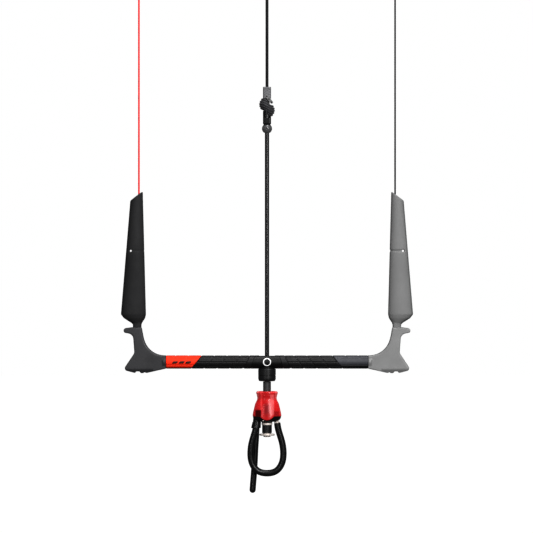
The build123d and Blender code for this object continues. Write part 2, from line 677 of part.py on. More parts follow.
SPRING_WIRE = 0.65
with BuildPart() as return_spring:
    with BuildLine():
        coil = Helix(
            pitch=3.6,
            height=SPRING_SEAT_BOTTOM - WEB_TOP - 2 * SPRING_WIRE - 0.2,
            radius=8.5,
            center=(0, 0, WEB_TOP + SPRING_WIRE + 0.1),
        )
    with BuildSketch(Plane(origin=coil @ 0, z_dir=coil % 0)):
        Circle(SPRING_WIRE)
    sweep(is_frenet=True)
pieces["return_spring"] = return_spring

# ---------------------------------------------------------------- leash swivel under the core
SWIVEL_TOP = -124.5
SWIVEL_BOTTOM = -140.4
PLATE_TOP = -142.5
PLATE_BOTTOM = -145.7
BOLT_RADIUS = 3.0

with BuildPart() as safety_collar:
    add(ring(10.6, 1.8, SWIVEL_TOP, BOSS_BOTTOM))
    fillet(safety_collar.edges().filter_by(GeomType.CIRCLE).sort_by(SortBy.RADIUS)[-1], radius=0.8)
pieces["safety_collar"] = safety_collar

with BuildPart() as swivel_housing:
    housing_profile = [
        (5.0, SWIVEL_TOP - 0.02),
        (9.5, SWIVEL_TOP - 0.02),
        (9.5, SWIVEL_BOTTOM),
        (BOLT_RADIUS + BORE_GAP, SWIVEL_BOTTOM),
        (BOLT_RADIUS + BORE_GAP, -136.0),
        (5.0, -136.0),
    ]
    add(turned(housing_profile))
pieces["swivel_housing"] = swivel_housing

with BuildPart() as leash_bolt:
    add(rod(BOLT_RADIUS, -148.9, -136.2))
pieces["leash_bolt"] = leash_bolt

with BuildPart() as leash_washer:
    add(ring(8.0, BOLT_RADIUS + BORE_GAP, PLATE_TOP + 0.1, SWIVEL_BOTTOM - 0.02))
pieces["leash_washer"] = leash_washer

with BuildPart() as leash_plate:
    with BuildSketch(Plane.XY.offset(PLATE_BOTTOM)):
        Circle(15.2)
        Circle(BOLT_RADIUS + 0.08, mode=Mode.SUBTRACT)
        SlotArc(CenterArc((0, 0), 9.6, 20, 140), 5.2, mode=Mode.SUBTRACT)
    extrude(amount=PLATE_TOP - PLATE_BOTTOM)
    circles = leash_plate.edges().filter_by(GeomType.CIRCLE)
    fillet(circles.filter_by(lambda edge: edge.radius > 15), radius=1.2)
pieces["leash_plate"] = leash_plate

with BuildPart() as leash_nut:
    with BuildSketch(Plane.XY.offset(-148.3)):
        RegularPolygon(7.0, 6)
        Circle(BOLT_RADIUS + BORE_GAP, mode=Mode.SUBTRACT)
    extrude(amount=PLATE_BOTTOM - 0.1 + 148.3)
pieces["leash_nut"] = leash_nut

# ---------------------------------------------------------------- harness loop and finger
# half of the loop's centre line, from its top down; the other half mirrors it
LOOP_HALF = [(20.4, -121), (22.8, -135), (29.7, -158.6), (32.5, -182), (29, -202), (18, -216)]
LOOP_LOW_Z = -220.5
loop_path = [(-x, 0, z) for x, z in LOOP_HALF] + [(0, 0, LOOP_LOW_Z)]
loop_path += [(x, 0, z) for x, z in reversed(LOOP_HALF)]

with BuildPart() as loop_tube:
    add(hose(loop_path, LOOP_RADIUS, LOOP_BORE))
pieces["loop_tube"] = loop_tube

with BuildPart() as loop_core:
    add(hose(loop_path, LOOP_BORE - 0.2))
pieces["loop_core"] = loop_core

CUFF_SECTIONS = [(STUD_X, -111.1, 7.2), (-20.6, -121.0, 7.3), (-22.4, -131.0, 7.6)]     # x, z, radius


def cuff_solid(extra=0.0):
    """The cuff's outside, leaning with the leg; a larger one cuts the collar around it."""
    with BuildPart() as cuff:
        for x, z, radius in CUFF_SECTIONS:
            with BuildSketch(Plane(origin=(x, 0, z), z_dir=(0, 0, 1))):
                Circle(radius + extra)
        loft(ruled=True)
    return cuff.part


with BuildPart() as loop_cuff:
    add(cuff_solid())
    add(hose(loop_path, LOOP_RADIUS + BORE_GAP), mode=Mode.SUBTRACT)
    add(rod(STUD_RADIUS + BORE_GAP, -121.1, -110, x=STUD_X), mode=Mode.SUBTRACT)
    add(rod(5.2, -121.1, -118.0, x=STUD_X), mode=Mode.SUBTRACT)
pieces["loop_cuff"] = loop_cuff

with BuildPart() as loop_stud:
    stud_profile = [
        (0, STUD_HEAD_TOP),
        (STUD_HEAD_RADIUS, STUD_HEAD_TOP),
        (STUD_HEAD_RADIUS, STUD_HEAD_BOTTOM + 0.05),
        (STUD_RADIUS, STUD_HEAD_BOTTOM + 0.05),
        (STUD_RADIUS, -118.2),
        (5.0, -118.2),
        (5.0, -120.0),
        (0, -120.0),
    ]
    add(turned(stud_profile, x=STUD_X))
pieces["loop_stud"] = loop_stud

with BuildPart() as loop_spigot:
    spigot_profile = [
        (0, SPIGOT_TOP),
        (SPIGOT_RADIUS - 0.8, SPIGOT_TOP),
        (SPIGOT_RADIUS, SPIGOT_TOP - 1.0),
        (SPIGOT_RADIUS, -111.0),
        (NECK_RADIUS, -111.4),
        (NECK_RADIUS, -115.0),
        (SPIGOT_RADIUS, -115.4),
        (SPIGOT_RADIUS, -118.4),
        (5.6, -118.4),
        (5.6, -120.6),
        (0, -120.6),
    ]
    add(turned(spigot_profile, x=SPIGOT_X))
pieces["loop_spigot"] = loop_spigot

FINGER_RADIUS = 6.0
FINGER_HINGE = (-20.5, 13.4, -127.0)
FINGER_PIN_RADIUS = 1.5
LUG_RADIUS = 3.5
LUG_INNER = 3.3             # lugs stand this far each side of the hinge
LUG_OUTER = 5.9
finger_path = [
    (-20.9, 13.6, -131.0),
    (-21.9, 13.8, -150.0),
    (-23.3, 13.8, -172.0),
    (-25.1, 13.8, -209.0),
    (-26.8, 13.4, -232.0),
    (-28.6, 12.8, -254.4),
]
hinge_x, hinge_y, hinge_z = FINGER_HINGE


def across_hinge(radius, half_width):
    """Rod along the finger's hinge axis."""
    start = (hinge_x - half_width, hinge_y, hinge_z)
    end = (hinge_x + half_width, hinge_y, hinge_z)
    return cross_rod(radius, start, end)


with BuildPart() as finger_collar:
    for x, z, radius in ((-20.3, -118.8, 8.3), (-22.0, -130.6, 9.4)):
        with BuildSketch(Plane(origin=(x, 0, z), z_dir=(0, 0, 1))):
            Circle(radius)
    loft(ruled=True)
    add(across_hinge(LUG_RADIUS, LUG_OUTER))
    with Locations((hinge_x, hinge_y - 3.0, hinge_z)):
        Box(2 * LUG_OUTER, 6.0, 2 * LUG_RADIUS)
    with Locations((hinge_x, hinge_y + 6.2, hinge_z)):
        Box(2 * LUG_INNER, 19.6, 24.0, mode=Mode.SUBTRACT)
    add(cuff_solid(BORE_GAP), mode=Mode.SUBTRACT)
    add(across_hinge(FINGER_PIN_RADIUS + BORE_GAP, 10), mode=Mode.SUBTRACT)
pieces["finger_collar"] = finger_collar

with BuildPart() as finger:
    add(hose(finger_path, FINGER_RADIUS))
    with Locations(finger_path[-1]):
        Sphere(FINGER_RADIUS)
    add(across_hinge(LUG_RADIUS - 0.1, LUG_INNER - 0.2))
    with Locations((hinge_x, hinge_y, hinge_z - 2.5)):
        Box(2 * LUG_INNER - 0.4, 6.0, 5.0)
    add(across_hinge(FINGER_PIN_RADIUS + BORE_GAP, 10), mode=Mode.SUBTRACT)
pieces["finger"] = finger

with BuildPart() as finger_pin:
    add(across_hinge(FINGER_PIN_RADIUS, LUG_OUTER))
pieces["finger_pin"] = finger_pin

# ---------------------------------------------------------------- the separate pieces
for name, piece in pieces.items():
    piece.part.label = name
    export_step(piece.part, f"parts/{name}.step")
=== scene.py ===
from math import cos, exp, pi, radians, sin

import bmesh
import bpy
import numpy as np
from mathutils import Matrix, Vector


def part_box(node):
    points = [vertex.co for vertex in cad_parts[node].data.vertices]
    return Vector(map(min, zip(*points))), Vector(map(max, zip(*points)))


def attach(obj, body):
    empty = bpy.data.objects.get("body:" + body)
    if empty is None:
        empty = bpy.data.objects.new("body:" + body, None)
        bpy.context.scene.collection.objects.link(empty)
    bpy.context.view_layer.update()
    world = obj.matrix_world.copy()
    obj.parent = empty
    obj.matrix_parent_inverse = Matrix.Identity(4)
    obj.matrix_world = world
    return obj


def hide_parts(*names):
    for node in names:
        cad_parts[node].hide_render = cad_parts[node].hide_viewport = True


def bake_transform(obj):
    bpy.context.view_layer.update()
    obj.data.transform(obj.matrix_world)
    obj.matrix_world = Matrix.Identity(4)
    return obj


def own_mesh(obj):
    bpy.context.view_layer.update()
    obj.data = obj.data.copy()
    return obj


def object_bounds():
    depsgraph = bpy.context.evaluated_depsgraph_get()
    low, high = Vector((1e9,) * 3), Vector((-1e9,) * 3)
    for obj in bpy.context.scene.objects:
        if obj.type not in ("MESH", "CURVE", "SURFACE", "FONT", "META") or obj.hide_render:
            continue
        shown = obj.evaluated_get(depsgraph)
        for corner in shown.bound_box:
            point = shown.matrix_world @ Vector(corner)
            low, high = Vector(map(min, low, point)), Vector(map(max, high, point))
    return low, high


# Kitesurf control bar: looks around the CAD frame. Metres; +X right, -Y front, +Z up the lines.
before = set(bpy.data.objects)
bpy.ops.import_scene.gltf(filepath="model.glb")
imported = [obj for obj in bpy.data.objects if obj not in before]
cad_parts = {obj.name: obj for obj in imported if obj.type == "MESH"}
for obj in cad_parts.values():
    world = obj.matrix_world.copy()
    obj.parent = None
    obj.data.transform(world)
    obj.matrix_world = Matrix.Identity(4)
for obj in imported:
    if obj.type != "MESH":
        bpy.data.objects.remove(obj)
cad_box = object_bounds()
MM = 0.001


# ---------------------------------------------------------------- materials
def linear(red, green, blue):
    """An sRGB colour given as 0..255, as the linear values that nodes use."""
    def channel(value):
        value /= 255.0
        return value / 12.92 if value <= 0.04045 else ((value + 0.055) / 1.055) ** 2.4
    return (channel(red), channel(green), channel(blue), 1.0)


class Nodes:
    """Short calls for building one material's node tree."""

    def __init__(self, name):
        self.material = bpy.data.materials.new(name)
        self.material.use_nodes = True
        self.tree = self.material.node_tree
        self.surface = self.tree.nodes["Principled BSDF"]
        self.place = self.tree.nodes.new("ShaderNodeTexCoord").outputs["Object"]

    def add(self, kind, **inputs):
        node = self.tree.nodes.new(kind)
        for key, value in inputs.items():
            socket = node.inputs[key.replace("_", " ")]
            if isinstance(value, bpy.types.NodeSocket):
                self.tree.links.new(value, socket)
            else:
                socket.default_value = value
        return node

    def noise(self, scale, detail=3.0, stretch=(1, 1, 1)):
        place = self.place
        if stretch != (1, 1, 1):
            mapping = self.add("ShaderNodeMapping", Vector=self.place, Scale=stretch)
            place = mapping.outputs["Vector"]
        noise = self.add("ShaderNodeTexNoise", Vector=place, Scale=scale, Detail=detail)
        return noise.outputs["Fac"]

    def spread(self, value, low, high, start=0.3, end=0.7):
        """The value's range from start to end, mapped to low to high and held at both ends."""
        node = self.add("ShaderNodeMapRange", Value=value)
        limits = {"From Min": start, "From Max": end, "To Min": low, "To Max": high}
        for key, number in limits.items():
            node.inputs[key].default_value = number
        return node.outputs["Result"]

    def times(self, first, second):
        node = self.add("ShaderNodeMath", Value=first)
        node.operation = "MULTIPLY"
        self.tree.links.new(second, node.inputs[1])
        return node.outputs["Value"]

    def mix(self, factor, first, second):
        node = self.tree.nodes.new("ShaderNodeMix")
        node.data_type = "RGBA"
        for index, value in ((0, factor), (6, first), (7, second)):
            if isinstance(value, bpy.types.NodeSocket):
                self.tree.links.new(value, node.inputs[index])
            else:
                node.inputs[index].default_value = value
        return node.outputs[2]

    def bump(self, height, depth, before=None, strength=0.8):
        node = self.add("ShaderNodeBump", Height=height, Distance=depth, Strength=strength)
        if before is not None:
            self.tree.links.new(before, node.inputs["Normal"])
        return node.outputs["Normal"]

    def set(self, **inputs):
        for key, value in inputs.items():
            socket = self.surface.inputs[key.replace("_", " ")]
            if isinstance(value, bpy.types.NodeSocket):
                self.tree.links.new(value, socket)
            else:
                socket.default_value = value


def painted_edge_shade(n, colour, depth):
    """The colour with painted shade deepening its grazing edges, standing in for the dark rims that
    the lighting leaves there.
    """
    facing = n.add("ShaderNodeLayerWeight", Blend=0.5).outputs["Facing"]
    deep = (0.02, 0.02, 0.02, 1.0)
    return n.mix(n.spread(facing, 0.0, depth, 0.35, 0.95), colour, deep)


MOULDED_SHADE = 0.75         # how deep the painted shade at the grazing edges of moulded pieces goes
SHADE_BELOW_FADE = 0.3 * MM        # half the width of the change to the painted shade below


def moulded(name, colour, light, rough=0.5, grain=1400.0, depth=0.06, wear=0.25, coat=0.0,
            under=None):
    """Moulded plastic or rubber: cloudy colour, fine spark texture, paler worn edges and painted
    shade at the grazing edges.

    under is (height, colour): painted shade of that colour below the height, for a lower side
    turned from the lamps.
    """
    n = Nodes(name)
    cloud = n.noise(24.0, 4.0)
    body = n.mix(n.spread(cloud, 0.0, 0.22), colour, light)
    if under:
        # painted shade: the darker colour below the height stands for the shaded lower side
        height, shade_below_colour = under
        z = n.add("ShaderNodeSeparateXYZ", Vector=n.place).outputs["Z"]
        below = n.spread(z, 1.0, 0.0, height - SHADE_BELOW_FADE, height + SHADE_BELOW_FADE)
        body = n.mix(below, body, shade_below_colour)
    edge = n.add("ShaderNodeNewGeometry").outputs["Pointiness"]
    scuff = n.spread(n.noise(160.0, 5.0), 0.0, wear, 0.45, 0.75)
    worn = n.mix(n.times(n.spread(edge, 0.0, 1.0, 0.52, 0.60), scuff), body, light)
    n.set(Base_Color=painted_edge_shade(n, worn, MOULDED_SHADE), Coat_Weight=coat)
    n.set(Roughness=n.spread(n.noise(70.0, 4.0), rough - 0.07, rough + 0.09))
    n.set(Specular_IOR_Level=0.42)
    fine = n.bump(n.noise(grain, 2.0), depth * MM)
    n.set(Normal=n.bump(n.noise(grain / 9.0, 3.0), 1.6 * depth * MM, fine, 0.5))
    return n.material


def foam(name, colour, light, depth):
    """Closed-cell foam: matt, pitted skin with faint clouds, pressed marks and painted shade at the
    grazing edges.
    """
    n = Nodes(name)
    cloud = n.spread(n.noise(16.0, 5.0), 0.0, 0.6)
    n.set(Base_Color=painted_edge_shade(n, n.mix(cloud, colour, light), depth), Specular_IOR_Level=0.25)
    n.set(Roughness=n.spread(n.noise(60.0, 3.0), 0.62, 0.82))
    cells = n.add("ShaderNodeTexVoronoi", Vector=n.place, Scale=900.0).outputs["Distance"]
    skin = n.bump(cells, 0.12 * MM, None, 0.7)
    n.set(Normal=n.bump(n.noise(90.0, 4.0), 0.25 * MM, skin, 0.6))
    return n.material


def metal(name, colour, light, rough=0.3, brushed=(1, 1, 12), scratch=0.03, metallic=1.0):
    """Brushed or turned metal with streaks, small stains and fine scratches."""
    n = Nodes(name)
    streak = n.noise(420.0, 4.0, brushed)
    stain = n.spread(n.noise(45.0, 4.0), 0.0, 0.8)
    n.set(Base_Color=n.mix(stain, colour, light), Metallic=metallic)
    n.set(Roughness=n.spread(streak, rough - 0.08, rough + 0.14), Anisotropic=0.3)
    n.set(Normal=n.bump(streak, scratch * MM, None, 0.5))
    return n.material


def rope(name, colour, light, fleck):
    """Braided cord: the braid is in the mesh, the single yarns and their flecks are here."""
    n = Nodes(name)
    yarn = n.noise(2600.0, 3.0, (1, 1, 0.35))
    body = n.mix(n.spread(n.noise(500.0, 3.0), 0.0, 0.7), colour, light)
    n.set(Base_Color=n.mix(n.spread(yarn, 0.0, 0.35, 0.55, 0.75), body, fleck), Sheen_Weight=0.1)
    n.set(Roughness=n.spread(n.noise(300.0, 3.0), 0.6, 0.85), Specular_IOR_Level=0.25)
    n.set(Normal=n.bump(yarn, 0.10 * MM))
    return n.material


def band(n, value, start, end, soft):
    """1 between start and end of a coordinate, falling to 0 over the soft distance."""
    rise = n.spread(value, 0.0, 1.0, start - soft, start)
    fall = n.spread(value, 1.0, 0.0, end, end + soft)
    return n.times(rise, fall)


# bands of painted light and shade on the release sleeve, in mm: measured along x, or as distance
# from the middle (reach);
# (from, to), (lowest, highest) height, softness, colour
SLEEVE_PAINTED_LIGHT_AND_SHADE = (
    # painted light: pale pink where light shines through the top wings
    ("reach", (16.2, 24.0), (-71.0, -56.0), 1.4, linear(244, 128, 128)),
    # painted shade of the dark stem seen through the middle
    ("x", (-3.0, 2.0), (-98.0, -88.0), 5.5, linear(176, 44, 52)),
    # painted highlight: reflection of the right softbox
    ("x", (7.0, 13.0), (-102.0, -66.0), 1.8, linear(244, 136, 138)),
    # painted highlight: reflection of the left strip light
    ("x", (-13.0, -10.6), (-94.0, -62.0), 1.6, linear(252, 96, 98)),
    # painted shade: a dark patch low on the left
    ("x", (-22.0, -13.0), (-106.0, -96.0), 1.6, linear(96, 6, 10)),
    # painted shade: darker red low on the right
    ("x", (15.5, 22.5), (-105.0, -99.0), 2.4, linear(176, 30, 38)),
)


def clear_red(name):
    """Glossy red plastic, clear where it meets the view squarely, with bands of painted highlight,
    painted lit-through paleness and painted shade.
    """
    n = Nodes(name)
    axes = n.add("ShaderNodeSeparateXYZ", Vector=n.place).outputs
    reach = n.add("ShaderNodeMath", Value=axes["X"])
    reach.operation = "ABSOLUTE"
    cloud = n.spread(n.noise(60.0, 3.0), 0.0, 1.0)
    body = n.mix(cloud, linear(222, 42, 46), linear(236, 66, 70))
    # each band lays its painted light or painted shade over the body colour
    for value, (start, end), (bottom, top), soft, colour in SLEEVE_PAINTED_LIGHT_AND_SHADE:
        coordinate = reach.outputs["Value"] if value == "reach" else axes["X"]
        across = band(n, coordinate, start * MM, end * MM, soft * MM)
        above = band(n, axes["Z"], bottom * MM, top * MM, 2 * soft * MM)
        body = n.mix(n.times(across, above), body, colour)
    n.set(Base_Color=body, Coat_Weight=0.35)
    n.set(Roughness=n.spread(n.noise(220.0, 2.0), 0.26, 0.36), Coat_Roughness=0.22)
    n.set(Normal=n.bump(n.noise(40.0, 2.0), 0.05 * MM))
    clear = n.add("ShaderNodeBsdfTransparent", Color=(0.98, 0.56, 0.56, 1.0))
    slope = n.add("ShaderNodeLayerWeight", Blend=0.4).outputs["Facing"]
    blend = n.add("ShaderNodeMixShader", Fac=n.spread(slope, 0.45, 0.9, 0.0, 1.0))
    n.tree.links.new(clear.outputs["BSDF"], blend.inputs[1])
    n.tree.links.new(n.surface.outputs["BSDF"], blend.inputs[2])
    n.tree.links.new(blend.outputs["Shader"], n.tree.nodes["Material Output"].inputs["Surface"])
    return n.material


# look: name, colour, lighter colour, roughness, grain, bump depth (mm), wear, coat
MOULDED_LOOKS = {
    "tread": ("tread_rubber", (21, 21, 22), (52, 52, 54), 0.5, 1600.0, 0.05, 0.3, 0.0),
    "orange": ("orange_rubber", (236, 54, 4), (244, 74, 14), 0.6, 1600.0, 0.05, 0.2, 0.0),
    "slate": ("slate_rubber", (66, 67, 72), (92, 93, 98), 0.5, 1600.0, 0.05, 0.25, 0.0),
    "hub": ("hub_plastic", (6, 6, 6), (26, 26, 28), 0.5, 1300.0, 0.03, 0.2, 0.0),
    "collar": ("collar_plastic", (26, 26, 27), (66, 66, 68), 0.4, 1300.0, 0.04, 0.35, 0.0),
    "end_dark": ("end_plastic_dark", (61, 61, 63), (98, 98, 101), 0.45, 1200.0, 0.05, 0.3, 0.0),
    "end_grey": ("end_plastic_grey", (128, 128, 128), (166, 166, 166), 0.45, 1200.0, 0.05, 0.3,
                 0.0),
    "core": ("core_plastic", (13, 14, 14), (50, 54, 55), 0.34, 1300.0, 0.03, 0.35, 0.0),
    "stem": ("stem_plastic", (70, 70, 71), (100, 100, 102), 0.4, 1300.0, 0.03, 0.3, 0.0),
    "loop": ("loop_rubber", (12, 12, 12), (40, 40, 42), 0.34, 900.0, 0.03, 0.25, 0.1),
    "pu": ("line_tube_pu", (22, 22, 23), (56, 56, 60), 0.3, 900.0, 0.02, 0.2, 0.2),
    "ball": ("ball_plastic", (84, 84, 85), (130, 130, 132), 0.34, 1000.0, 0.02, 0.35, 0.6),
    # near black and matt: painted shade, so that the stopper screw reads as the dark hole it sits
    # in
    "socket": ("socket_black", (2, 2, 2), (8, 8, 8), 0.88, 1300.0, 0.03, 0.2, 0.0),
    "print_white": ("print_white", (238, 238, 238), (252, 252, 252), 0.5, 1500.0, 0.01, 0.2, 0.0),
    "print_dark": ("print_dark", (64, 20, 12), (92, 34, 22), 0.5, 1500.0, 0.01, 0.2, 0.0),
}
# (height, colour) of the painted shade on the lower side, which faces away from the lamps
PAINTED_UNDERSIDE_SHADE = {
    "orange": (-10.4 * MM, linear(124, 26, 6)),
    "slate": (-6.2 * MM, linear(26, 26, 28)),
}
# look: colour, lighter colour, depth of the painted shade at the grazing edges
FOAM_LOOKS = {
    "foam_black": ((50, 50, 51), (60, 60, 61), 0.8),
    "foam_grey": ((126, 126, 126), (138, 138, 138), 0.75),
}
# look: name, colour, lighter colour, roughness, metallic
METAL_LOOKS = {
    "steel": ("steel_brushed", (206, 198, 192), (226, 220, 214), 0.42, 0.35),
    "alloy": ("alloy_anodised", (86, 86, 88), (118, 118, 120), 0.42, 0.35),
    "link": ("link_steel", (96, 96, 97), (120, 120, 120), 0.5, 0.2),
    "spring": ("spring_wire", (150, 150, 152), (206, 206, 208), 0.3, 0.8),
}
# look: colour, lighter colour, flecks
ROPE_LOOKS = {
    "rope_red": ((222, 10, 14), (236, 28, 28), (140, 6, 10)),
    "rope_black": ((16, 16, 17), (36, 36, 38), (64, 64, 66)),
    # the black trim rope again, lightened as a painted sheen along the wound turns
    "rope_coil_painted_sheen": ((40, 40, 42), (84, 84, 87), (128, 128, 130)),
    "rope_grey": ((120, 120, 122), (168, 168, 170), (60, 60, 62)),
}
MATERIALS = {"red": clear_red("sleeve_clear_red")}
for look, (name, colour, light, *finish) in MOULDED_LOOKS.items():
    MATERIALS[look] = moulded(name, linear(*colour), linear(*light), *finish,
                              under=PAINTED_UNDERSIDE_SHADE.get(look))
for look, (colour, light, depth) in FOAM_LOOKS.items():
    MATERIALS[look] = foam(look, linear(*colour), linear(*light), depth)
for look, (name, colour, light, rough, metallic) in METAL_LOOKS.items():
    MATERIALS[look] = metal(name, linear(*colour), linear(*light), rough, metallic=metallic)
for look, colours in ROPE_LOOKS.items():
    MATERIALS[look] = rope(look, *[linear(*colour) for colour in colours])


def paint(piece, look):
    """Give the whole piece one material."""
    piece.data.materials.clear()
    piece.data.materials.append(MATERIALS[look])


CAD_NODES = {
    "alloy": ("bar_tube", "cleat"),
    "hub": ("hub_shell_front", "hub_shell_back"),
    "collar": ("hub_collar", "swivel_housing"),
    "steel": ("hub_collar_pins", "bar_end_pins", "swivel_shaft", "swivel_washers", "latch_pin",
              "latch_pawl", "safety_collar", "leash_bolt", "leash_washer", "leash_plate",
              "leash_nut", "loop_stud", "loop_spigot", "finger_pin"),
    "tread": ("tread_grip_left", "tread_grip_right"),
    "orange": ("colour_grip_left",),
    "slate": ("colour_grip_right",),
    "end_dark": ("bar_end_left",),
    "end_grey": ("bar_end_right",),
    "rope_red": ("leader_left", "steering_line_left", "safety_line"),
    "rope_black": ("leader_right", "steering_line_right", "trim_coil", "upper_line"),
    "pu": ("guide_ball", "centre_tube"),
    "foam_black": ("float_left",),
    "foam_grey": ("float_right",),
    "ball": ("stopper_ball",),
    "socket": ("stopper_screw",),
    "core": ("cleat_housing", "core_base", "stud_cap"),
    "link": ("cleat_link",),
    "stem": ("stem_tube",),
    "red": ("release_sleeve",),
    "spring": ("return_spring",),
    "loop": ("loop_tube", "loop_cuff", "finger_collar", "finger"),
    "rope_grey": ("loop_core",),
}
for look, node_names in CAD_NODES.items():
    for node_name in node_names:
        paint(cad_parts[node_name], look)


# ---------------------------------------------------------------- mesh helpers
def new_piece(name, points, faces, look, body, node=None, smooth=True):
    """A mesh object with outward faces, its material, its CAD body and the node it stands for."""
    mesh = bpy.data.meshes.new(name)
    mesh.from_pydata([tuple(point) for point in points], [], faces)
    work = bmesh.new()
    work.from_mesh(mesh)
    bmesh.ops.recalc_face_normals(work, faces=work.faces)
    work.to_mesh(mesh)
    work.free()
    mesh.polygons.foreach_set("use_smooth", [smooth] * len(mesh.polygons))
    piece = bpy.data.objects.new(name, mesh)
    bpy.context.scene.collection.objects.link(piece)
    paint(piece, look)
    if body:
        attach(piece, body)
    if node:
        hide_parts(node)
    return piece


def skin(rings, closed=False):
    """Points and faces of the surface through rings of equal length, capped unless it closes."""
    count = len(rings[0])
    faces = []
    for i in range(len(rings) if closed else len(rings) - 1):
        low, high = i * count, (i + 1) % len(rings) * count
        for j in range(count):
            k = (j + 1) % count
            faces.append((low + j, low + k, high + k, high + j))
    if not closed:
        faces.append(tuple(range(count)))
        faces.append(tuple(range((len(rings) - 1) * count, len(rings) * count)))
    return [point for ring in rings for point in ring], faces


def smooth_curve(points, step):
    """Points about one step apart on a Catmull-Rom curve through the given points."""
    knots = [2 * points[0] - points[1]] + list(points) + [2 * points[-1] - points[-2]]
    line = []
    for a, b, c, d in zip(knots, knots[1:], knots[2:], knots[3:]):
        pieces = max(2, int((c - b).length / step))
        for i in range(pieces):
            t = i / pieces
            line.append(0.5 * (2 * b + (c - a) * t + (2 * a - 5 * b + 4 * c - d) * t * t
                               + (3 * b - a - 3 * c + d) * t ** 3))
    line.append(points[-1])
    return line


def carried_frames(line):
    """Tangent, side and up at each point of a line, carried along without twist."""
    tangents = []
    for i in range(len(line)):
        tangents.append((line[min(i + 1, len(line) - 1)] - line[max(i - 1, 0)]).normalized())
    side = tangents[0].orthogonal().normalized()
    frames = []
    for tangent in tangents:
        side = (side - tangent * side.dot(tangent)).normalized()
        frames.append((tangent, side, tangent.cross(side)))
    return frames


def braid(around, along, strands, lay):
    """Radius share of a braid: two sets of yarns crossing over and under each other."""
    right = cos(strands * (around + along * lay))
    left = cos(strands * (around - along * lay))
    over = cos(strands * around) * cos(strands * along * lay)
    return 0.5 * max(right + 0.6 * over, left - 0.6 * over)


def cord(name, line, radius, look, body, node=None, strands=5, turn=4.2, depth=0.09, around=24):
    """Braided cord along a line: rings whose radius follows the braid, with flat capped ends."""
    rings, travelled = [], 0.0
    for i, (point, (tangent, side, up)) in enumerate(zip(line, carried_frames(line))):
        if i:
            travelled += (point - line[i - 1]).length
        along = travelled / radius * 2.2 / turn
        ring = []
        for j in range(around):
            angle = 2 * pi * j / around
            reach = radius * (1.0 - depth + depth * braid(angle, along, strands, 1.0))
            ring.append(point + reach * (cos(angle) * side + sin(angle) * up))
        rings.append(ring)
    points, faces = skin(rings)
    return new_piece(name, points, faces, look, body, node)


def upright_line(x, bottom, top, step):
    """Straight vertical line of points."""
    count = max(2, int((top - bottom) / step))
    return [Vector((x, 0, bottom + (top - bottom) * i / count)) for i in range(count + 1)]


def softened(node, name, voxel, passes, look, body, softness=None):
    """A copy of a CAD node, remeshed finely and smoothed; softness(x, z) can hold it back."""
    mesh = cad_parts[node].data.copy()
    work = bmesh.new()
    work.from_mesh(mesh)
    bmesh.ops.remove_doubles(work, verts=work.verts, dist=0.01 * MM)
    work.to_mesh(mesh)
    work.free()
    piece = bpy.data.objects.new(name, mesh)
    bpy.context.scene.collection.objects.link(piece)
    remesh = piece.modifiers.new("remesh", "REMESH")
    remesh.mode = "VOXEL"
    remesh.voxel_size = voxel
    bake_modifiers(piece)
    relax = piece.modifiers.new("relax", "SMOOTH")
    relax.factor = 0.5
    relax.iterations = passes
    if softness:
        group = piece.vertex_groups.new(name="soft")
        for vertex in piece.data.vertices:
            group.add([vertex.index], softness(abs(vertex.co.x), vertex.co.z), "REPLACE")
        relax.vertex_group = "soft"
    bake_modifiers(piece)
    piece.vertex_groups.clear()
    piece.data.polygons.foreach_set("use_smooth", [True] * len(piece.data.polygons))
    paint(piece, look)
    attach(piece, body)
    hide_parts(node)
    return piece


def smooth_step(value, start, end):
    """0 before start, 1 after end, with a soft change between."""
    share = min(max((value - start) / (end - start), 0.0), 1.0)
    return share * share * (3 - 2 * share)


def squared(value, power):
    """A cosine or sine raised to a power with its sign kept; small powers give square corners."""
    return abs(value) ** power * (1 if value > 0 else -1)


def bake_modifiers(piece):
    """Apply every modifier of a piece to its mesh."""
    bpy.context.view_layer.update()
    evaluated = piece.evaluated_get(bpy.context.evaluated_depsgraph_get())
    baked = bpy.data.meshes.new_from_object(evaluated)
    piece.modifiers.clear()
    piece.data = baked


# ---------------------------------------------------------------- grips
BAR_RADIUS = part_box("tread_grip_right")[1].z
GRIP_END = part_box("colour_grip_right")[1].x
TUBE_RADIUS = 11.05 * MM
GROOVES = 9                  # long grooves around the tread, the first at the front
SLIT_PITCH = 25.5 * MM
COLOUR_JOINT = 140.0 * MM    # at mid height; the joint leans out towards the bottom
HIGH_GROOVE = radians(37.0)  # long grooves of the coloured ends: angles above the middle
LOW_GROOVE = radians(-29.0)
BACK_GROOVE = radians(143.0)
NOTCHED = (radians(40.0), radians(140.0))   # the top rib that has the slits
JOINT_LEAN = 10.0 / 13.0
HUB_EDGE = 28.0 * MM
HUB_LEAN = 4.0 / 13.0
BAND_EDGE = 40.5 * MM        # end of the smooth band beside the hub
BAND_LEAN = 0.41


def groove(distance, width, depth):
    """Soft-walled groove: how far the surface sinks at a distance from its middle."""
    return -depth * exp(-(distance / width) ** 4)


def to_slit(x, z):
    """Distance along the bar to the nearest leaning slit."""
    return (x + z * JOINT_LEAN - COLOUR_JOINT + SLIT_PITCH / 2) % SLIT_PITCH - SLIT_PITCH / 2


